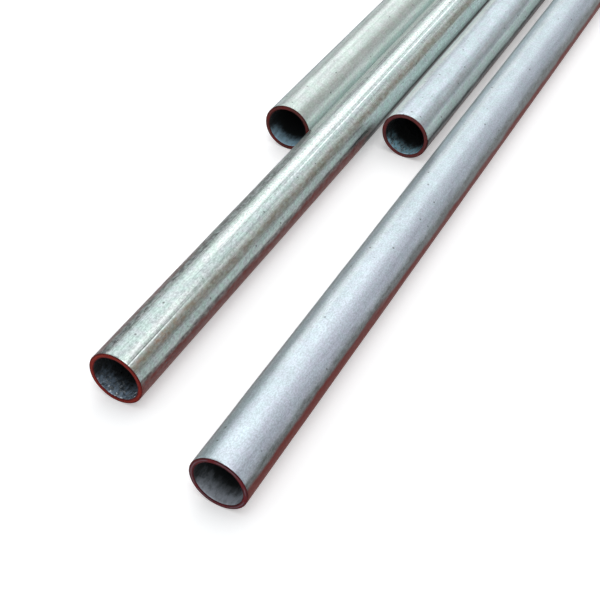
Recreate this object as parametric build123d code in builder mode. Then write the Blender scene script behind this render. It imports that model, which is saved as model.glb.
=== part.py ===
"""Four galvanised steel tubes of one size, lying loose and nearly side by side on a level floor.

Millimetres, +Z up. The tubes run along +Y, their front ends are towards -Y, and the
numbering goes from left (-X) to right (+X). The origin is at the middle of the footprint,
at floor level.
"""

from build123d import *

import os
from math import atan, cos, degrees, radians, sin, sqrt

# One tube
outer_diameter = 48.3
wall = 4.0
length = 2000.0
outer_edge_break = 0.5  # chamfer where the sawn end meets the outside
bore_edge_break = 0.4  # chamfer where the sawn end meets the bore
seam_flat_width = 3.6  # strip along which the weld bead is planed off, outside

# How far each front end lies behind the front end of tube 2
setback_1 = 363.0
setback_3 = 412.0
setback_4 = -47.0

# Clear widths between neighbouring tubes
contact_gap = 0.3  # two round walls that lean on each other
gap_2_3_front = 6.5  # where tube 3 starts
gap_3_4_front = 13.0  # where tube 3 starts
gap_3_4_back = 10.0  # where tube 4 ends

# Where each weld seam lies, in degrees from the top of the tube towards +X
seam_turn_1 = -126.0
seam_turn_2 = 29.0
seam_turn_3 = 152.0
seam_turn_4 = -141.0

outer_radius = outer_diameter / 2
bore_radius = outer_radius - wall
seam_chord = sqrt(outer_radius**2 - (seam_flat_width / 2) ** 2)
touching_pitch = outer_diameter + contact_gap

# Tube 2 lies along Y and tube 1 leans on it for its whole length. Tube 3 starts a little
# way off and leans on the back end of tube 2. Tube 4 lies free beside tube 3.
front_x_1 = -touching_pitch
front_x_2 = 0.0
front_x_3 = outer_diameter + gap_2_3_front
slope_3 = (touching_pitch - front_x_3) / (length - setback_3)

back_y_4 = setback_4 + length
beside_front_x = front_x_3 + outer_diameter + gap_3_4_front
beside_back_x = front_x_3 + slope_3 * (back_y_4 - setback_3) + outer_diameter + gap_3_4_back
slope_4 = (beside_back_x - beside_front_x) / (back_y_4 - setback_3)
front_x_4 = beside_front_x + slope_4 * (setback_4 - setback_3)

# label, front end's X and Y, heading in degrees from +Y towards +X, seam turn
layout = [
    ("tube_1", front_x_1, setback_1, 0.0, seam_turn_1),
    ("tube_2", front_x_2, 0.0, 0.0, seam_turn_2),
    ("tube_3", front_x_3, setback_3, degrees(atan(slope_3)), seam_turn_3),
    ("tube_4", front_x_4, setback_4, degrees(atan(slope_4)), seam_turn_4),
]


def end_points(x, y, heading):
    """The middle points of a tube's front and back ends, as (x, y) pairs."""
    turn = radians(heading)
    return (x, y), (x + length * sin(turn), y + length * cos(turn))


def footprint_middle():
    """The middle of the rectangle that the whole stack covers on the floor."""
    xs, ys = [], []
    for _, x, y, heading, _ in layout:
        turn = radians(heading)
        sideways = outer_radius * cos(turn)
        endways = (outer_radius - outer_edge_break) * abs(sin(turn))
        for end_x, end_y in end_points(x, y, heading):
            xs += [end_x - sideways, end_x + sideways]
            ys += [end_y - endways, end_y + endways]
    return (min(xs) + max(xs)) / 2, (min(ys) + max(ys)) / 2


def end_plane(x, y, heading):
    """The plane of a tube's front end. Its normal runs down the tube and its Y is up."""
    turn = radians(heading)
    return Plane(
        origin=(x - middle_x, y - middle_y, outer_radius),
        x_dir=(-cos(turn), sin(turn), 0),
        z_dir=(sin(turn), cos(turn), 0),
    )


def write_tube(label, x, y, heading, seam_turn):
    """One welded tube: its ring section with the planed seam, drawn out, its ends deburred."""
    with BuildPart() as tube:
        with BuildSketch(end_plane(x, y, heading)):
            Circle(outer_radius)
            Circle(bore_radius, mode=Mode.SUBTRACT)
            with Locations(Location((0, 0, 0), (0, 0, seam_turn))):
                with Locations((0, seam_chord)):
                    Rectangle(
                        2 * seam_flat_width,
                        wall,
                        align=(Align.CENTER, Align.MIN),
                        mode=Mode.SUBTRACT,
                    )
        extrude(amount=length)
        for end in (tube.faces().sort_by(Axis.Y)[0], tube.faces().sort_by(Axis.Y)[-1]):
            chamfer(end.outer_wire().edges(), outer_edge_break)
            chamfer(end.inner_wires()[0].edges(), bore_edge_break)
    tube.part.label = label
    export_step(tube.part, f"parts/{label}.step")


middle_x, middle_y = footprint_middle()
os.makedirs("parts", exist_ok=True)
for entry in layout:
    write_tube(*entry)
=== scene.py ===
from math import cos, pi, radians, sin

import bpy
import numpy as np
from mathutils import Matrix


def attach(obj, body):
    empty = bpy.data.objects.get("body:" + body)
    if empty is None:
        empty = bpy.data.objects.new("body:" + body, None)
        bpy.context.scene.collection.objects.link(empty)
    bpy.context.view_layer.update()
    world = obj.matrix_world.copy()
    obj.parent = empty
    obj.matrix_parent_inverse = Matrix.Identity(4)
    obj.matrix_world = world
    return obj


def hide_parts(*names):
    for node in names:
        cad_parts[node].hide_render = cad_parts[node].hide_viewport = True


# Four galvanised steel tubes on a pale floor. Metres, +Z up, the tubes run along +Y.
# A turn is an angle round a tube's axis, from its top towards +X.
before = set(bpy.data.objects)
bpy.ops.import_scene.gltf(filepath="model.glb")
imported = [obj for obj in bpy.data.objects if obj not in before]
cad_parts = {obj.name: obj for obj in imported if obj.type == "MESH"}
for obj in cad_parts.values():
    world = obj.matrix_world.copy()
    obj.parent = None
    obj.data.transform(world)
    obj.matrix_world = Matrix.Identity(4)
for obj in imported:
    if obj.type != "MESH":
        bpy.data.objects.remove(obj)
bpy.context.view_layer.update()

# What every tube shares. Lengths in metres.
tubeShape = {
    "wall": 0.0040,
    "outerEdgeBreak": 0.0005,
    "boreEdgeBreak": 0.0004,
    "columns": 132,  # evenly round the tube, the seam adds its own
    "outsideSteps": ((0.72, 0.0032), (9.0, 0.0125)),  # up to this far along, steps of this size
    "boreSteps": ((0.06, 0.0018), (0.24, 0.008), (9.0, 0.04)),
    "faceSteps": 5,
    "nearEnd": 0.05,  # how much of the CAD tube shows where an end's middle is
}

# The zinc's unevenness on the outside. Pairs are the least and the most that chance gives.
reliefShape = {
    "waveCount": 14,
    "waveHeight": 0.00004,
    "wavesRound": (1, 9),  # whole waves round the tube, under the second number
    "wavesAlong": (6.0, 90.0),  # radians a metre
    "lumpCount": 70,  # beads and runs of zinc
    "lumpHeight": 0.00016,
    "lumpRise": (-0.5, 1.0),
    "lumpPlace": (0.0, 2.0),  # along the tube
    "lumpWidth": (0.0010, 0.0030),
    "lumpStretch": (1.2, 4.0),  # length over width
    "restingCosine": -0.90,  # nothing stands out where the tube rests
    "restingEdge": 30,
    "fadeLength": 0.004,  # the relief fades this near to an end, down to the share below
    "fadedShare": 0.25,
}

# The planed weld seam, as distances across it.
seamShape = {
    "flatWidth": 0.0036,
    "grooveDepth": 0.00016,  # fine line where the two edges met
    "grooveWidth": 0.00050,
    "grooveOffset": 0.00055,  # from the middle of the flat
    "grooveLength": 0.11,  # it is deep for this far behind the front end
    "grooveRest": 0.12,  # share of its depth further back
    "columnsAcross": 0.001
    * np.array([-2.4, -1.8, -1.2, -0.6, -0.2, 0.1, 0.4, 0.7, 1.0, 1.3, 1.6, 2.0, 2.4]),
    "clearColumns": 0.4,  # from the last of them to the next even column, at least
}


def axisOf(node):
    # The middle of each end of a CAD tube, from the box round the points near that end, and its
    # radius, half of its height.
    mesh = node.data
    points = np.empty(len(mesh.vertices) * 3)
    mesh.vertices.foreach_get("co", points)
    points = points.reshape(-1, 3)
    first, last = points[:, 1].min(), points[:, 1].max()
    front = points[points[:, 1] < first + tubeShape["nearEnd"]]
    back = points[points[:, 1] > last - tubeShape["nearEnd"]]
    middles = [(end.min(0) + end.max(0)) / 2 for end in (front, back)]
    middles[0][1] = first
    middles[1][1] = last
    radius = (points[:, 2].max() - points[:, 2].min()) / 2
    return middles[0], middles[1], radius


def stepsTo(start, stop, spacing):
    # Distances from start up to but not including stop. Each entry of spacing gives how far its
    # step goes, and its stretch is shared out evenly.
    places = []
    for reach, step in spacing:
        reach = min(reach, stop)
        count = max(1, round((reach - start) / step))
        places.append(np.linspace(start, reach, count, endpoint=False))
        start = reach
    return np.concatenate(places)


def straightRun(start, stop, count):
    # Points of the outline from start up to but not including stop, evenly spaced.
    share = np.arange(count) / count
    return np.outer(start, 1 - share) + np.outer(stop, share)


def wallOutline(radius, length):
    # The closed outline of the wall, as radius and distance along the tube: out along the outside,
    # round the back end, back along the bore and round the front end. Kind 0 is the outside,
    # 1 the bore and 2 the sawn ends.
    outerBreak, boreBreak = tubeShape["outerEdgeBreak"], tubeShape["boreEdgeBreak"]
    bore = radius - tubeShape["wall"]
    rim = radius - outerBreak
    lip = bore + boreBreak
    boreBack = length - boreBreak
    outside = stepsTo(outerBreak, length - outerBreak, tubeShape["outsideSteps"])
    inside = stepsTo(boreBreak, boreBack, tubeShape["boreSteps"])[::-1][:-1]
    faceSteps = tubeShape["faceSteps"]
    runs = (
        (0, np.stack([np.full(len(outside), radius), outside])),
        (2, straightRun((radius, length - outerBreak), (rim, length), 2)),
        (2, straightRun((rim, length), (lip, length), faceSteps)),
        (2, straightRun((lip, length), (bore, boreBack), 2)),
        (1, np.array([[bore], [boreBack]])),
        (1, np.stack([np.full(len(inside), bore), inside])),
        (2, straightRun((bore, boreBreak), (lip, 0.0), 2)),
        (2, straightRun((lip, 0.0), (rim, 0.0), faceSteps)),
        (2, straightRun((rim, 0.0), (radius, outerBreak), 2)),
    )
    kinds = np.concatenate([np.full(run.shape[1], kind) for kind, run in runs])
    outline = np.concatenate([run for kind, run in runs], axis=1)
    return outline[0], outline[1], kinds


def turnsRound(radius, seamTurn):
    # Turns round the tube, counted from the seam and from the top: even ones, with closer ones
    # across the seam in place of those there.
    across = seamShape["columnsAcross"] / radius
    even = (np.arange(tubeShape["columns"]) + 0.5) / tubeShape["columns"] * 2 * pi - pi
    clear = np.abs(even) > across.max() + seamShape["clearColumns"] * (even[1] - even[0])
    fromSeam = np.sort(np.concatenate([even[clear], across]))
    return fromSeam, fromSeam + radians(seamTurn)


def zincRelief(turn, along, radius, seed):
    # Height of the zinc over the true round: slow waves, each a whole number of turns round the
    # tube, plus bell-shaped lumps that are drawn out along it.
    chance = np.random.default_rng(seed)
    height = np.zeros(turn.shape)
    for wave in range(reliefShape["waveCount"]):
        around = chance.integers(*reliefShape["wavesRound"])
        lengthways = chance.uniform(*reliefShape["wavesAlong"])
        height += np.cos(around * turn + lengthways * along + chance.uniform(0, 2 * pi))
    height *= reliefShape["waveHeight"] / np.sqrt(reliefShape["waveCount"] / 2)
    for lump in range(reliefShape["lumpCount"]):
        lumpTurn = chance.uniform(-pi, pi)
        lumpAlong = chance.uniform(*reliefShape["lumpPlace"])
        width = chance.uniform(*reliefShape["lumpWidth"])
        stretch = width * chance.uniform(*reliefShape["lumpStretch"])
        rise = reliefShape["lumpHeight"] * chance.uniform(*reliefShape["lumpRise"])
        aside = (np.mod(turn - lumpTurn + pi, 2 * pi) - pi) * radius / width
        off = (along - lumpAlong) / stretch
        height += rise * np.exp(-np.minimum(aside**2 + off**2, 40.0))  # nothing is left at 40
    fromResting = np.cos(turn) - reliefShape["restingCosine"]
    return height * (0.5 + 0.5 * np.tanh(fromResting * reliefShape["restingEdge"]))


def seamRelief(fromSeam, along, radius):
    # The bead is planed off along a chord, and a bell-shaped groove is left where the edges met.
    half = seamShape["flatWidth"] / 2
    across = fromSeam * radius
    chord = np.sqrt(radius**2 - half**2)
    flat = np.where(np.abs(across) < half, chord / np.cos(fromSeam) - radius, 0.0)
    groove = np.exp(-(((across - seamShape["grooveOffset"]) / seamShape["grooveWidth"]) ** 2))
    nearFront = np.exp(-((along / seamShape["grooveLength"]) ** 2))
    rest = seamShape["grooveRest"]
    return flat - seamShape["grooveDepth"] * (rest + (1 - rest) * nearFront) * groove


def gridQuads(rows, columns):
    # Faces between neighbours in a grid of points that closes on itself both ways.
    index = np.arange(rows * columns).reshape(rows, columns)
    nextRow = np.roll(index, -1, axis=0)
    corners = (index, nextRow, np.roll(nextRow, -1, axis=1), np.roll(index, -1, axis=1))
    return np.stack(corners, axis=-1).reshape(-1, 4)


def buildTube(nodeName, look, materials):
    # The wall's outline carried once round the axis: a grid of turns against outline points,
    # closed both ways, with the relief added to the radius of the outside.
    front, back, radius = axisOf(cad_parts[nodeName])
    axis = back - front
    length = float(np.linalg.norm(axis))
    axis /= length
    sideways = np.array([axis[1], -axis[0], 0.0])
    upwards = np.array([0.0, 0.0, 1.0])

    wallRadius, along, kinds = wallOutline(radius, length)
    fromSeam, turns = turnsRound(radius, look["seamTurn"])
    turnGrid, alongGrid = np.meshgrid(turns, along)
    seamGrid = np.broadcast_to(fromSeam, turnGrid.shape)
    radiusGrid = np.repeat(wallRadius[:, None], len(turns), axis=1)
    relief = zincRelief(turnGrid, alongGrid, radius, look["seed"])
    relief += seamRelief(seamGrid, alongGrid, radius)
    fromEnd = np.minimum(alongGrid, length - alongGrid)
    relief *= np.clip(fromEnd / reliefShape["fadeLength"], reliefShape["fadedShare"], 1.0)
    radiusGrid += np.where((kinds == 0)[:, None], relief, 0.0)
    points = (
        front
        + alongGrid[..., None] * axis
        + (radiusGrid * np.sin(turnGrid))[..., None] * sideways
        + (radiusGrid * np.cos(turnGrid))[..., None] * upwards
    )

    rows, columns = turnGrid.shape
    mesh = bpy.data.meshes.new(f"galvanised_{nodeName}")
    mesh.from_pydata(points.reshape(-1, 3), [], gridQuads(rows, columns))
    for material in materials:
        mesh.materials.append(material)
    mesh.polygons.foreach_set("material_index", np.repeat(kinds, columns).astype(np.int32))
    mesh.polygons.foreach_set("use_smooth", np.ones(rows * columns, bool))
    # The materials read these: the sine and cosine of the turn with the distance from the nearer
    # end, and the share of the wall, 0 at the bore and 1 at the outside.
    lie = mesh.attributes.new("lie", "FLOAT_VECTOR", "POINT")
    lie.data.foreach_set("vector", np.stack([np.sin(turnGrid), np.cos(turnGrid), fromEnd], -1).ravel())
    depth = mesh.attributes.new("wallShare", "FLOAT", "POINT")
    depth.data.foreach_set("value", 1 - (radius - radiusGrid).ravel() / tubeShape["wall"])
    mesh.update()

    tube = bpy.data.objects.new(mesh.name, mesh)
    bpy.context.scene.collection.objects.link(tube)
    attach(tube, "root")
    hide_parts(nodeName)


def feed(tree, socket, value):
    # A socket takes a link from another node or a plain value of its own.
    if isinstance(value, bpy.types.NodeSocket):
        tree.links.new(value, socket)
    elif socket.type == "RGBA":
        socket.default_value = (*value, 1.0)
    else:
        socket.default_value = value


def addNode(tree, kind, settings=None, inputs=None):
    # A node with its settings and inputs, laid out in rows in the order of making.
    node = tree.nodes.new(kind)
    node.location = (len(tree.nodes) % 14 * 190, -(len(tree.nodes) // 14) * 260)
    for name, value in (settings or {}).items():
        setattr(node, name, value)
    for name, value in (inputs or {}).items():
        feed(tree, node.inputs[name], value)
    return node


def sumNode(tree, operation, *values):
    # One sum on plain numbers.
    return addNode(tree, "ShaderNodeMath", {"operation": operation}, dict(enumerate(values))).outputs[0]


def vectorNode(tree, operation, inputs):
    # One sum on vectors or colours.
    return addNode(tree, "ShaderNodeVectorMath", {"operation": operation}, inputs).outputs


def rangeNode(tree, value, low, high, toLow=0.0, toHigh=1.0):
    # Runs smoothly from toLow to toHigh while the value goes from low to high.
    settings = {"interpolation_type": "SMOOTHSTEP"}
    inputs = {"Value": value, "From Min": low, "From Max": high, "To Min": toLow, "To Max": toHigh}
    return addNode(tree, "ShaderNodeMapRange", settings, inputs).outputs["Result"]


def mixNode(tree, share, under, over, way="MIX"):
    # The colour over covers the colour under by this share. Inputs 6 and 7 are the two colours.
    node = addNode(tree, "ShaderNodeMix", {"data_type": "RGBA", "blend_type": way})
    feed(tree, node.inputs["Factor"], share)
    feed(tree, node.inputs[6], under)
    feed(tree, node.inputs[7], over)
    return node.outputs[2]


def stretchNode(tree, place, scale, shift=0.0):
    # Places scaled along each axis, then moved along X so that patterns of one scale differ.
    inputs = {"Vector": place, "Scale": scale, "Location": (shift, 0.0, 0.0)}
    return addNode(tree, "ShaderNodeMapping", {}, inputs).outputs["Vector"]


def noiseNode(tree, place, scale, detail, roughness):
    # Cloudy noise about 0.5, this many cells to one unit of place.
    inputs = {"Vector": place, "Scale": scale, "Detail": detail, "Roughness": roughness}
    return addNode(tree, "ShaderNodeTexNoise", {}, inputs).outputs["Fac"]


def cellNodes(tree, place, scale):
    # Random cells: their colour, their own random share, and the distance from a cell's middle.
    cells = addNode(tree, "ShaderNodeTexVoronoi", {}, {"Vector": place, "Scale": scale}).outputs
    pick = addNode(tree, "ShaderNodeSeparateColor", {}, {"Color": cells["Color"]}).outputs[0]
    return cells["Color"], pick, cells["Distance"]


def attributeNode(tree, name, output):
    # What buildTube stored under this name at each point of the mesh.
    return addNode(tree, "ShaderNodeAttribute", {"attribute_name": name}).outputs[output]


def newMaterial(name):
    # A material with its node tree, its shader and the Object coordinates that patterns lie in.
    material = bpy.data.materials.new(name)
    material.use_nodes = True
    tree = material.node_tree
    place = addNode(tree, "ShaderNodeTexCoord").outputs["Object"]
    return material, tree, tree.nodes["Principled BSDF"], place


def feedBump(tree, shader, height, distance, inputs=None):
    # Fine height under the smooth shape, in metres at a height of 1.
    settings = {"Strength": 1.0, "Distance": distance, "Height": height, **(inputs or {})}
    bump = addNode(tree, "ShaderNodeBump", {}, settings)
    feed(tree, shader.inputs["Normal"], bump.outputs["Normal"])


# Colours of the surface, several of them painted light: highlights, shade and reflections.
palette = {
    "greenZinc": (0.54, 0.595, 0.565),
    "blueZinc": (0.555, 0.625, 0.67),
    "lilacZinc": (0.565, 0.600, 0.675),
    # painted highlights and bright painted reflections
    "paintedHighlight": (0.84, 0.90, 0.88),
    # painted shade: darker reflections laid into the colour
    "paintedShade": (0.33, 0.41, 0.415),
    # real dark mottle together with painted shade, on the lower left flanks
    "mottleAndShade": (0.150, 0.175, 0.168),
    # real dark specks, and also painted shade on flanks, undersides and a line in a highlight
    "specksAndShade": (0.095, 0.100, 0.098),
    # painted deep shade, underneath and along the seam's groove
    "paintedDeepShade": (0.042, 0.048, 0.049),
    "brownStain": (0.25, 0.21, 0.155),
    "rustSpots": (0.30, 0.150, 0.085),
    # painted reflection of a red floor, along the lower flanks
    "paintedRedReflection": (0.145, 0.023, 0.018),
    # painted reflected light on the right flanks, beside the next tube
    "paintedReflection": (0.60, 0.73, 0.70),
}


def band(middle, halfWidth, soft, colour, strength, wobble=4.0, patchy=0.0, matte=0.0, reach=None):
    # A strip of other colour along a tube, in degrees of turn, often painted highlight, shade or
    # reflection. Patchy breaks it up, matte makes it less metallic and rougher.
    # Reach is how far from the ends it starts and is whole: (0.2, 0.0) is whole at the ends only.
    return {
        "middle": middle,
        "halfWidth": halfWidth,
        "soft": soft,
        "colour": palette[colour],
        "strength": strength,
        "wobble": wobble,
        "patchy": patchy,
        "matte": matte,
        "reach": reach,
    }


# One entry for each tube: where its seam lies and its finish. Grain, tint and streaks are how
# strongly each shows, and fineness makes the grain finer. The bands lie over each other in order;
# most of them are painted highlights, painted shade and painted reflections, as noted above each list.
tubeLooks = {
    "tube_1": {
        "seamTurn": -126.0,
        "seed": 11,
        "zinc": palette["greenZinc"],
        "roughness": 0.34,
        "grain": 0.15,
        "fineness": 1.2,
        "tint": 0.8,
        "streaks": 0.08,
        # Painted light among these bands: shade on the left flank with real mottle in it, a highlight and
        # lines of shade at the top, reflected light on the right flank, and a red floor's reflection
        # underneath. The brown band is a real stain.
        "bands": (
            band(-75, 44, 12, "paintedShade", 0.75),
            band(-78, 41, 8, "mottleAndShade", 0.80, patchy=0.3, matte=0.8),
            band(-5, 6, 4, "paintedHighlight", 0.25, wobble=2.0, reach=(0.00, 0.03)),
            band(3, 2.5, 2, "paintedShade", 0.30, wobble=2.0, patchy=0.4),
            band(20, 8, 7, "paintedShade", 0.16),
            band(36, 12, 8, "brownStain", 0.25, patchy=0.5, matte=0.3),
            band(70, 22, 8, "paintedHighlight", 0.50),
            band(78, 14, 6, "paintedReflection", 1.0, wobble=1.0, matte=1.0),
            band(180, 76, 7, "paintedRedReflection", 0.75, patchy=0.3, matte=1.0),
        ),
        "bore": {"zinc": (0.50, 0.78, 0.95), "dark": 0.3, "spangle": 0.10, "lumps": 0.0002},
        "end": {"red": (0.170, 0.026, 0.022), "dark": (0.085, 0.020, 0.018), "core": (0.160, 0.050, 0.045)},
    },
    "tube_2": {
        "seamTurn": 29.0,
        "seed": 23,
        "zinc": palette["greenZinc"],
        "roughness": 0.25,
        "grain": 0.22,
        "fineness": 1.0,
        "tint": 1.0,
        "streaks": 0.10,
        # Painted light among these bands: shade on the left flank with real mottle and specks in it,
        # highlights at the top with shade between them, reflected light and shade on the right flank, shade
        # and a red floor's reflection underneath and low on the left near the front, and shade and a
        # highlight along the seam. The brown and rust bands are real stains.
        "bands": (
            band(-64, 39, 6, "paintedShade", 0.60, wobble=5.0, reach=(0.36, 0.25)),
            band(-60, 33, 9, "mottleAndShade", 1.0, wobble=5.0, patchy=0.40, matte=1.0, reach=(0.36, 0.25)),
            band(-40, 8, 5, "brownStain", 0.20, wobble=4.0, patchy=1.0, matte=0.6, reach=(0.36, 0.25)),
            band(-36, 15, 6, "specksAndShade", 1.0, wobble=6.0, patchy=1.0, reach=(0.36, 0.25)),
            band(-17, 5, 4, "paintedShade", 0.25, wobble=2.0, reach=(0.26, 0.34)),
            band(-50, 17, 6, "paintedRedReflection", 0.55, wobble=3.0, patchy=0.4, matte=1.0, reach=(0.18, 0.10)),
            band(0, 15, 5, "paintedShade", 0.50, wobble=3.0, reach=(0.17, 0.09)),
            band(-9, 5, 4, "paintedShade", 0.18, wobble=2.0),
            band(0, 6, 4, "paintedHighlight", 0.50, wobble=1.5, reach=(0.04, 0.22)),
            band(21, 6, 5, "paintedHighlight", 0.30, wobble=2.0, patchy=0.3, reach=(0.11, 0.06)),
            band(17, 10, 5, "paintedShade", 0.55, wobble=2.0, reach=(0.06, 0.16)),
            band(9.0, 0.9, 0.7, "specksAndShade", 0.35, wobble=0.8, reach=(0.08, 0.20)),
            band(16, 1.3, 1.0, "paintedHighlight", 0.90, wobble=0.7, patchy=0.3, reach=(0.20, 0.34)),
            band(44, 8, 5, "brownStain", 0.80, wobble=3.0, patchy=0.50, matte=0.3),
            band(41, 7, 4, "rustSpots", 0.50, wobble=5.0, patchy=1.0, matte=0.5, reach=(0.18, 0.02)),
            band(63, 7, 3, "paintedReflection", 0.80, wobble=1.5, matte=0.8),
            band(63, 12, 5, "paintedShade", 0.50, wobble=2.0, reach=(0.32, 0.42)),
            band(180, 109, 3, "paintedDeepShade", 0.95, wobble=2.5, patchy=0.3, reach=(0.45, 0.32)),
            band(180, 102, 7, "paintedRedReflection", 1.0, patchy=0.15, matte=1.0, reach=(0.44, 0.38)),
            band(78, 14, 5, "paintedReflection", 0.85, wobble=1.5, matte=1.0, reach=(0.375, 0.44)),
            band(180, 93, 4, "paintedDeepShade", 0.95, wobble=1.0, reach=(0.37, 0.40)),
            # painted shade of the seam's groove, then its painted highlight
            band(29.4, 0.70, 0.40, "paintedDeepShade", 0.70, wobble=0.0, patchy=0.4, reach=(0.11, 0.03)),
            band(32.0, 0.65, 0.35, "paintedHighlight", 1.0, wobble=0.0, patchy=0.4, reach=(0.08, 0.03)),
        ),
        "bore": {"zinc": (0.40, 0.52, 0.66), "dark": 0.85, "spangle": 1.0, "lumps": 0.0004},
        "end": {"red": (0.270, 0.020, 0.013), "dark": (0.130, 0.011, 0.011), "core": (0.350, 0.034, 0.014)},
    },
    "tube_3": {
        "seamTurn": 152.0,
        "seed": 37,
        "zinc": palette["blueZinc"],
        "roughness": 0.36,
        "grain": 0.15,
        "fineness": 1.2,
        "tint": 0.8,
        "streaks": 0.08,
        # Painted light among these bands: reflected light on both flanks, shade on the top, and shade and a
        # red floor's reflection underneath. The brown band is a real stain.
        "bands": (
            band(-62, 36, 10, "paintedHighlight", 1.0),
            band(2, 12, 8, "paintedShade", 0.25),
            band(42, 9, 7, "brownStain", 0.35, patchy=0.3, matte=0.3),
            band(64, 10, 6, "paintedHighlight", 0.90, wobble=2.0),
            band(70, 13, 5, "paintedReflection", 1.0, wobble=2.0, matte=1.0),
            band(180, 99, 6, "paintedDeepShade", 0.97, patchy=0.1),
            band(180, 80, 10, "paintedRedReflection", 0.60, patchy=0.4, matte=1.0),
            band(-72, 24, 9, "blueZinc", 0.50, matte=0.8),
        ),
        "bore": {"zinc": (0.46, 0.82, 0.98), "dark": 0.80, "spangle": 0.60, "lumps": 0.0012},
        "end": {"red": (0.235, 0.048, 0.046), "dark": (0.125, 0.034, 0.035), "core": (0.200, 0.070, 0.070)},
    },
    "tube_4": {
        "seamTurn": -141.0,
        "seed": 41,
        "zinc": palette["blueZinc"],
        "roughness": 0.40,
        "grain": 0.18,
        "fineness": 1.6,
        "tint": 0.5,
        "streaks": 0.05,
        # Painted light among these bands: a highlight, a dark reflection with a sharp wavy edge and shade
        # on the left flank, shade along the top further back, shade on the right flank and underneath, and
        # a red floor's reflection.
        "bands": (
            band(40, 24, 14, "lilacZinc", 0.90),
            band(-20, 9, 5, "paintedHighlight", 0.30, reach=(0.06, 0.14)),
            band(-64, 38, 1.5, "paintedShade", 0.16, wobble=6.0),
            band(-64, 43, 1.5, "paintedShade", 0.30, wobble=6.0, patchy=0.3, reach=(0.12, 0.05)),
            band(25, 50, 20, "paintedShade", 0.20, reach=(0.22, 0.36)),
            band(-88, 43, 5, "mottleAndShade", 0.70, wobble=3.0, patchy=0.3, matte=0.8),
            band(-60, 8, 4, "paintedRedReflection", 0.35, wobble=3.0, patchy=0.5, matte=1.0, reach=(0.20, 0.12)),
            band(74, 19, 11, "specksAndShade", 1.0, wobble=4.0, patchy=0.15),
            band(180, 111, 6, "specksAndShade", 1.0, wobble=4.0, patchy=0.3),
            band(180, 107, 5, "paintedRedReflection", 1.0, wobble=4.0, patchy=0.15, matte=1.0, reach=(0.28, 0.16)),
            band(180, 101, 6, "paintedRedReflection", 1.0, patchy=0.15, matte=1.0),
        ),
        "bore": {"zinc": (0.58, 0.62, 0.69), "dark": 0.35, "spangle": 0.15, "lumps": 0.0002},
        "end": {"red": (0.165, 0.015, 0.020), "dark": (0.085, 0.012, 0.016), "core": (0.190, 0.100, 0.120)},
    },
}

# What the zinc of every tube shares. Scales are cells a metre, pairs are where a change begins and
# ends, and details are a noise's detail and roughness.
zincLook = {
    "cloudScale": (90.0, 50.0, 90.0),
    "cloudDetails": (4.0, 0.65),
    "cloudRange": (0.35, 0.65),
    "cloudShade": 0.90,
    "tintScale": 130.0,
    "tintDetails": (2.0, 0.6),
    "tintRange": (0.35, 0.65),
    "tints": ((0.96, 1.02, 0.99), (1.02, 0.975, 1.01)),
    "grainScale": (620.0, 330.0, 620.0),
    "grainDetails": (2.0, 0.7),
    "grainRange": (0.28, 0.72),
    "streakScale": (520.0, 14.0, 520.0),
    "streakDetails": (3.0, 0.6),
    "streakRange": (0.30, 0.70),
    "speckScale": 95.0,
    "speckEdge": (0.06, 0.12),  # of a cell
    "speckStrength": 0.75,
    "speckless": 0.42,  # share of the cells that have none
    "roughnessSpread": (-0.04, 0.06),  # added between streaks and in them
    "metallic": 0.85,
    "matteMetallic": -0.65,  # what a band's matte share adds
    "matteRoughness": 0.30,
    "specular": 0.2,
    "bumpDistance": 0.000035,
    "streakBump": 0.8,  # streaks over grain in the bump
}

# The edges and breaks of every band.
bandLook = {
    "wanderScale": (90.0, 26.0, 90.0),
    "wanderDetails": (3.0, 0.6),
    "wanderWidth": 4.0,  # times the band's wobble
    "wanderApart": 7,  # this many degrees between two bands' middles move the noise by one
    "patchScale": (330.0, 160.0, 330.0),
    "patchDetails": (4.0, 0.75),
    "patchRange": (0.40, 0.60),
    "patchApart": 3,
}


def bandShare(tree, lie, fromEnd, place, strip):
    # How far a point is inside a band: the angle from the band's middle to its turn, from the sine
    # and cosine of that angle, against the band's half width, with a wandering edge.
    middle = radians(strip["middle"])
    ways = ((cos(middle), -sin(middle), 0.0), (sin(middle), cos(middle), 0.0))
    parts = [vectorNode(tree, "DOT_PRODUCT", {0: lie, 1: way})["Value"] for way in ways]
    aside = sumNode(tree, "ABSOLUTE", sumNode(tree, "DEGREES", sumNode(tree, "ARCTAN2", *parts)))
    if strip["wobble"]:
        shift = strip["middle"] / bandLook["wanderApart"]
        wide = stretchNode(tree, place, bandLook["wanderScale"], shift)
        wander = sumNode(tree, "SUBTRACT", noiseNode(tree, wide, 1.0, *bandLook["wanderDetails"]), 0.5)
        aside = sumNode(tree, "MULTIPLY_ADD", wander, bandLook["wanderWidth"] * strip["wobble"], aside)
    inner, outer = strip["halfWidth"] - strip["soft"], strip["halfWidth"] + strip["soft"]
    share = rangeNode(tree, aside, inner, outer, strip["strength"], 0.0)
    if strip["patchy"]:
        shift = strip["middle"] / bandLook["patchApart"]
        spread = stretchNode(tree, place, bandLook["patchScale"], shift)
        patches = noiseNode(tree, spread, 1.0, *bandLook["patchDetails"])
        left = rangeNode(tree, patches, *bandLook["patchRange"], 1.0 - strip["patchy"], 1.0)
        share = sumNode(tree, "MULTIPLY", share, left)
    if strip["reach"]:
        none, whole = strip["reach"]
        ends = (none, whole, 0.0, 1.0) if none < whole else (whole, none, 1.0, 0.0)
        share = sumNode(tree, "MULTIPLY", share, rangeNode(tree, fromEnd, *ends))
    return share


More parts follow.
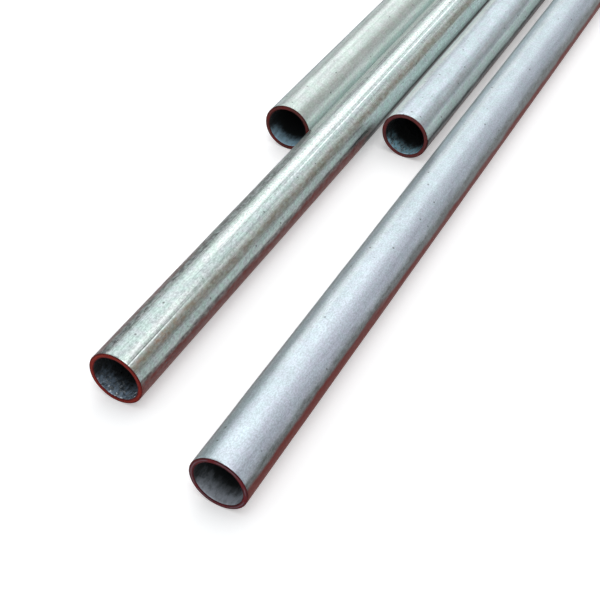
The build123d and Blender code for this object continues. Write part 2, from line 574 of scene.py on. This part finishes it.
def zincMaterial(nodeName, look):
    # Layers, from below: the zinc's own colour and cloudy tint, the bands round the tube, many of them
    # painted highlights, painted shade and painted reflections, then grain, streaks along the tube and dark
    # specks.
    material, tree, shader, place = newMaterial(f"{nodeName}_zinc")
    lie = attributeNode(tree, "lie", "Vector")
    fromEnd = addNode(tree, "ShaderNodeSeparateXYZ", {}, {"Vector": lie}).outputs["Z"]

    spread = stretchNode(tree, place, zincLook["cloudScale"])
    clouds = noiseNode(tree, spread, 1.0, *zincLook["cloudDetails"])
    shaded = tuple(zincLook["cloudShade"] * c for c in look["zinc"])
    colour = mixNode(tree, rangeNode(tree, clouds, *zincLook["cloudRange"]), look["zinc"], shaded)
    matte = 0.0
    for strip in look["bands"]:
        share = bandShare(tree, lie, fromEnd, place, strip)
        colour = mixNode(tree, share, colour, strip["colour"])
        if strip["matte"]:
            matte = sumNode(tree, "MAXIMUM", matte, sumNode(tree, "MULTIPLY", share, strip["matte"]))
    tint = noiseNode(tree, place, zincLook["tintScale"], *zincLook["tintDetails"])
    tinted = mixNode(tree, rangeNode(tree, tint, *zincLook["tintRange"]), *zincLook["tints"])
    colour = mixNode(tree, look["tint"], colour, tinted, "MULTIPLY")

    fine = stretchNode(tree, place, tuple(look["fineness"] * size for size in zincLook["grainScale"]))
    grain = noiseNode(tree, fine, 1.0, *zincLook["grainDetails"])
    drawn = stretchNode(tree, place, zincLook["streakScale"])
    streaks = noiseNode(tree, drawn, 1.0, *zincLook["streakDetails"])
    shade = sumNode(
        tree,
        "ADD",
        rangeNode(tree, grain, *zincLook["grainRange"], 1.0 - look["grain"], 1.0 + look["grain"]),
        rangeNode(tree, streaks, *zincLook["streakRange"], -look["streaks"], look["streaks"]),
    )
    colour = vectorNode(tree, "SCALE", {0: colour, "Scale": shade})["Vector"]

    _, pick, distance = cellNodes(tree, place, zincLook["speckScale"])
    spots = rangeNode(tree, distance, *zincLook["speckEdge"], zincLook["speckStrength"], 0.0)
    speck = sumNode(tree, "MULTIPLY", spots, sumNode(tree, "GREATER_THAN", pick, zincLook["speckless"]))
    colour = mixNode(tree, speck, colour, palette["specksAndShade"])
    feed(tree, shader.inputs["Base Color"], colour)

    metallic = sumNode(tree, "MULTIPLY_ADD", matte, zincLook["matteMetallic"], zincLook["metallic"])
    feed(tree, shader.inputs["Metallic"], metallic)
    smooth, rough = (look["roughness"] + more for more in zincLook["roughnessSpread"])
    roughness = rangeNode(tree, streaks, *zincLook["streakRange"], smooth, rough)
    roughness = sumNode(tree, "MULTIPLY_ADD", matte, zincLook["matteRoughness"], roughness)
    feed(tree, shader.inputs["Roughness"], roughness)
    shader.inputs["Specular IOR Level"].default_value = zincLook["specular"]
    height = sumNode(tree, "ADD", grain, sumNode(tree, "MULTIPLY", streaks, zincLook["streakBump"]))
    feedBump(tree, shader, height, zincLook["bumpDistance"])
    return material


# The bore, rough zinc that nothing has wiped. Painted shade darkens it inwards from the mouth and towards
# its top.
boreLook = {
    # the colour of the darker runs and of the painted shade
    "dark": (0.042, 0.046, 0.048),
    "cloudScale": (260.0, 120.0, 260.0),
    "cloudDetails": (4.0, 0.65),
    "cloudRange": (0.42, 0.66),
    "spangle": (0.85, 0.93, 1.00),
    "spangleScale": 760.0,
    "spangleRange": (0.74, 0.86),  # of the cells' own random share
    "spangleTilt": 1.2,
    "spangleMetallic": 0.6,
    "metallic": 0.15,
    "specular": 0.2,
    "roughness": 0.5,
    "roughnessSpread": (0.1, -0.15),  # added, from cell to cell
    "whole": 0.004,  # lit zinc up to this far behind the mouth, none left at the next
    "none": 0.021,
    "wander": 0.014,
    "lowRange": (-0.80, -0.20),  # cosine of the turn: lit up to the first, dark from the second
    "lowWander": 0.5,
}


def boreMaterial(nodeName, finish):
    # Blue-grey zinc with darker runs along it and bright spangles, each one a facet that leans its
    # own way by its cell's random colour. Painted shade covers all but the bottom near the mouth.
    material, tree, shader, place = newMaterial(f"{nodeName}_bore")
    lie = attributeNode(tree, "lie", "Vector")
    lieParts = addNode(tree, "ShaderNodeSeparateXYZ", {}, {"Vector": lie}).outputs

    spread = stretchNode(tree, place, boreLook["cloudScale"])
    clouds = noiseNode(tree, spread, 1.0, *boreLook["cloudDetails"])
    runs = rangeNode(tree, clouds, *boreLook["cloudRange"], 0.0, finish["dark"])
    colour = mixNode(tree, runs, finish["zinc"], boreLook["dark"])
    cellColour, pick, _ = cellNodes(tree, place, boreLook["spangleScale"])
    spangle = rangeNode(tree, pick, *boreLook["spangleRange"], 0.0, finish["spangle"])
    colour = mixNode(tree, spangle, colour, boreLook["spangle"])
    # painted shade: lit zinc only near the mouth and towards the bottom, dark deeper in and higher up
    wander = sumNode(tree, "SUBTRACT", clouds, 0.5)
    deep = sumNode(tree, "MULTIPLY_ADD", wander, boreLook["wander"], lieParts["Z"])
    clear = rangeNode(tree, deep, boreLook["whole"], boreLook["none"], 1.0, 0.0)
    high = sumNode(tree, "MULTIPLY_ADD", wander, boreLook["lowWander"], lieParts["Y"])
    low = rangeNode(tree, high, *boreLook["lowRange"], 1.0, 0.0)
    colour = mixNode(tree, sumNode(tree, "MULTIPLY", clear, low), boreLook["dark"], colour)
    feed(tree, shader.inputs["Base Color"], colour)

    litSpangles = sumNode(tree, "MULTIPLY", spangle, clear)
    metallic = sumNode(tree, "MULTIPLY_ADD", litSpangles, boreLook["spangleMetallic"], boreLook["metallic"])
    feed(tree, shader.inputs["Metallic"], metallic)
    roughEnds = (boreLook["roughness"] + more for more in boreLook["roughnessSpread"])
    feed(tree, shader.inputs["Roughness"], rangeNode(tree, pick, 0.0, 1.0, *roughEnds))
    shader.inputs["Specular IOR Level"].default_value = boreLook["specular"]

    facets = vectorNode(tree, "SUBTRACT", {0: cellColour, 1: (0.5, 0.5, 0.5)})["Vector"]
    tilt = vectorNode(tree, "SCALE", {0: facets, "Scale": spangle})["Vector"]
    upright = addNode(tree, "ShaderNodeNewGeometry").outputs["Normal"]
    factors = (boreLook["spangleTilt"],) * 3
    leaning = vectorNode(tree, "MULTIPLY_ADD", {0: tilt, 1: factors, 2: upright})["Vector"]
    facing = vectorNode(tree, "NORMALIZE", {0: leaning})["Vector"]
    feedBump(tree, shader, clouds, finish["lumps"], {"Normal": facing})
    return material


# The sawn ends, their red-brown a painted reflection of a red floor. Distances from the middle of the wall
# are shares of its thickness.
endLook = {
    "patchScale": 110.0,
    "patchDetails": (3.0, 0.6),
    "patchRange": (0.35, 0.65),
    "markScale": (60.0, 200.0, 2600.0),
    "markDetails": (3.0, 0.6),
    "markRange": (0.40, 0.70),
    "markStrength": 0.35,
    "coreRange": (0.04, 0.20),
    "corePatchRange": (0.40, 0.60),
    "coreStrength": 0.9,
    "edgeRange": (0.28, 0.50),
    "edgeStrength": 0.75,
    "edgeShade": 0.4,
    "roughnessRange": (0.3, 0.7),
    "roughness": (0.5, 0.7),
    "specular": 0.08,
    "bumpDistance": 0.00006,
}


def endMaterial(nodeName, finish):
    # Sawn steel, its red-brown colour a painted reflection of a red floor, darker at both edges of the
    # wall, with fine saw marks that run level.
    material, tree, shader, place = newMaterial(f"{nodeName}_sawn_end")
    wallShare = attributeNode(tree, "wallShare", "Fac")
    drawn = stretchNode(tree, place, endLook["markScale"])
    marks = noiseNode(tree, drawn, 1.0, *endLook["markDetails"])
    patches = noiseNode(tree, place, endLook["patchScale"], *endLook["patchDetails"])
    patched = rangeNode(tree, patches, *endLook["patchRange"])
    colour = mixNode(tree, patched, finish["red"], finish["dark"])
    marked = rangeNode(tree, marks, *endLook["markRange"], 0.0, endLook["markStrength"])
    colour = mixNode(tree, marked, colour, finish["dark"])
    fromMiddle = sumNode(tree, "ABSOLUTE", sumNode(tree, "SUBTRACT", wallShare, 0.5))
    core = rangeNode(tree, fromMiddle, *endLook["coreRange"], endLook["coreStrength"], 0.0)
    corePatches = rangeNode(tree, patches, *endLook["corePatchRange"])
    colour = mixNode(tree, sumNode(tree, "MULTIPLY", core, corePatches), colour, finish["core"])
    edge = rangeNode(tree, fromMiddle, *endLook["edgeRange"], 0.0, endLook["edgeStrength"])
    edgeColour = tuple(endLook["edgeShade"] * c for c in finish["dark"])
    feed(tree, shader.inputs["Base Color"], mixNode(tree, edge, colour, edgeColour))
    roughness = rangeNode(tree, marks, *endLook["roughnessRange"], *endLook["roughness"])
    feed(tree, shader.inputs["Roughness"], roughness)
    shader.inputs["Specular IOR Level"].default_value = endLook["specular"]
    feedBump(tree, shader, marks, endLook["bumpDistance"])
    return material


for nodeName, look in tubeLooks.items():
    finishes = [
        zincMaterial(nodeName, look),
        boreMaterial(nodeName, look["bore"]),
        endMaterial(nodeName, look["end"]),
    ]
    buildTube(nodeName, look, finishes)
    print(nodeName, "made")

# The camera stands where the photograph was taken from.
photoView = {
    "lens": 71.92,
    "sensorWidth": 36.0,
    "clipStart": 0.01,
    "place": (0.3533, -1.6877, 0.6900),
    "heading": 25.284,  # degrees to the left of +Y
    "pitch": 42.52,  # degrees below level
    "roll": 4.12,
}


def makeCamera():
    # Turned by its heading, tipped down by its pitch and rolled, then moved to its place.
    camera = bpy.data.objects.new("camera", bpy.data.cameras.new("camera"))
    bpy.context.scene.collection.objects.link(camera)
    camera.data.lens = photoView["lens"]
    camera.data.sensor_width = photoView["sensorWidth"]
    camera.data.clip_start = photoView["clipStart"]
    camera.matrix_world = (
        Matrix.Translation(photoView["place"])
        @ Matrix.Rotation(radians(photoView["heading"]), 4, "Z")
        @ Matrix.Rotation(radians(90 - photoView["pitch"]), 4, "X")
        @ Matrix.Rotation(radians(photoView["roll"]), 4, "Z")
    )
    bpy.context.scene.camera = camera


# A pale floor, an even grey room and long soft boxes overhead, level and in line with the tubes.
studio = {
    "floorColour": (0.86, 0.86, 0.86),
    "floorHalfWidth": 300.0,
    "floorLift": 0.36,  # extra white where the floor is seen, straight or in the metal
    "roomColour": (0.93, 0.97, 1.0),
    "roomStrength": 0.46,
    "lampHeight": 2.6,
}
# Each lamp's place over the floor, its size, and how bright its face is.
lamps = {
    "broad_box": {"middle": (-1.7, 3.0), "size": (4.8, 8.0), "brightness": 1.15},
    "side_box": {"middle": (2.0, 3.0), "size": (2.6, 8.0), "brightness": 0.40},
    "core_box": {"middle": (-1.6, 4.2), "size": (0.9, 5.8), "brightness": 1.5},
    "front_box": {"middle": (0.6, -1.5), "size": (1.8, 1.6), "brightness": 1.9},
}


def makeFloor():
    # One large square at floor level, matt, with extra white that lights nothing and only shows.
    half = studio["floorHalfWidth"]
    corners = [(-half, -half, 0), (half, -half, 0), (half, half, 0), (-half, half, 0)]
    mesh = bpy.data.meshes.new("floor")
    mesh.from_pydata(corners, [], [(0, 1, 2, 3)])
    floor = bpy.data.objects.new("floor", mesh)
    bpy.context.scene.collection.objects.link(floor)
    material = bpy.data.materials.new("pale_floor")
    material.use_nodes = True
    tree = material.node_tree
    tree.nodes.remove(tree.nodes["Principled BSDF"])
    diffuse = addNode(tree, "ShaderNodeBsdfDiffuse", {}, {"Color": studio["floorColour"]}).outputs[0]
    path = addNode(tree, "ShaderNodeLightPath").outputs
    mirrored = sumNode(tree, "ADD", path["Is Glossy Ray"], path["Is Transmission Ray"])
    seen = sumNode(tree, "ADD", path["Is Camera Ray"], mirrored)
    lift = sumNode(tree, "MULTIPLY", seen, studio["floorLift"])
    glow = addNode(tree, "ShaderNodeEmission", {}, {"Strength": lift}).outputs[0]
    total = addNode(tree, "ShaderNodeAddShader", {}, {0: diffuse, 1: glow}).outputs[0]
    feed(tree, tree.nodes["Material Output"].inputs["Surface"], total)
    mesh.materials.append(material)


def makeLight():
    # An even room, and lamps whose power is the face's brightness times pi times its area.
    world = bpy.data.worlds.new("room")
    bpy.context.scene.world = world
    world.use_nodes = True
    background = world.node_tree.nodes["Background"]
    background.inputs["Color"].default_value = (*studio["roomColour"], 1)
    background.inputs["Strength"].default_value = studio["roomStrength"]
    for name, lamp in lamps.items():
        light = bpy.data.lights.new(name, "AREA")
        light.shape = "RECTANGLE"
        light.size, light.size_y = lamp["size"]
        light.energy = lamp["brightness"] * pi * light.size * light.size_y
        holder = bpy.data.objects.new(name, light)  # an area lamp shines down as it stands
        holder.location = (*lamp["middle"], studio["lampHeight"])
        bpy.context.scene.collection.objects.link(holder)


makeCamera()
makeFloor()
makeLight()
bpy.context.scene.view_settings.view_transform = "Standard"
print("camera, floor and light made")
